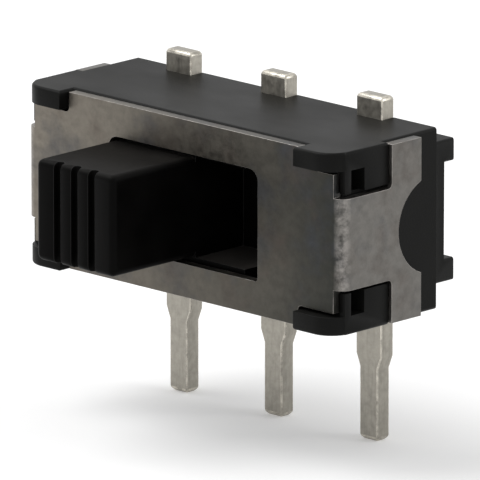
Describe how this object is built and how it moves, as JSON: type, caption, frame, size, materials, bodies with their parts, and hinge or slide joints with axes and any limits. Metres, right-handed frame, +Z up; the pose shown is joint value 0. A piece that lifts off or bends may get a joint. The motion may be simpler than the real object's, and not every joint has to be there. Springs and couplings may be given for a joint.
{
  "type": "slide switch",
  "caption": "Miniature board-mounted slide switch with a black moulded body, a folded metal cover, a ribbed side-acting knob and in-line solder terminals.",
  "frame": {"origin": "centre of the middle terminal's section at the board plane, which is the underside of the moulding", "axes": "+X along the travel and the row of terminals, to the right as seen from the knob side; +Y to the back, away from the knob; +Z up, away from the board"},
  "size_m": [0.0082, 0.0053, 0.0066],
  "materials": {
    "black_moulding": "fine matt moulding, glass-filled",
    "plated_sheet": "dull plated sheet, mottled",
    "black_knob": "satin moulding",
    "tinned_terminal": "dull tin plate over brass",
    "contact_bronze": "bright bronze strip",
    "spring_wire": "drawn wire",
    "ball_steel": "polished"
  },
  "bodies": {
    "base": {"housing": "black_moulding", "cover": "plated_sheet", "terminal_left": "tinned_terminal", "terminal_common": "tinned_terminal", "terminal_right": "tinned_terminal"},
    "slider": {"slider": "black_knob", "moving_contact": "contact_bronze", "detent_spring": "spring_wire", "detent_ball_lower": "ball_steel", "detent_ball_upper": "ball_steel"}
  },
  "joints": [
    {"name": "slider_travel", "type": "slide", "parent": "base", "child": "slider", "axis": [1, 0, 0], "range_m": [0, 0.0018]}
  ]
}
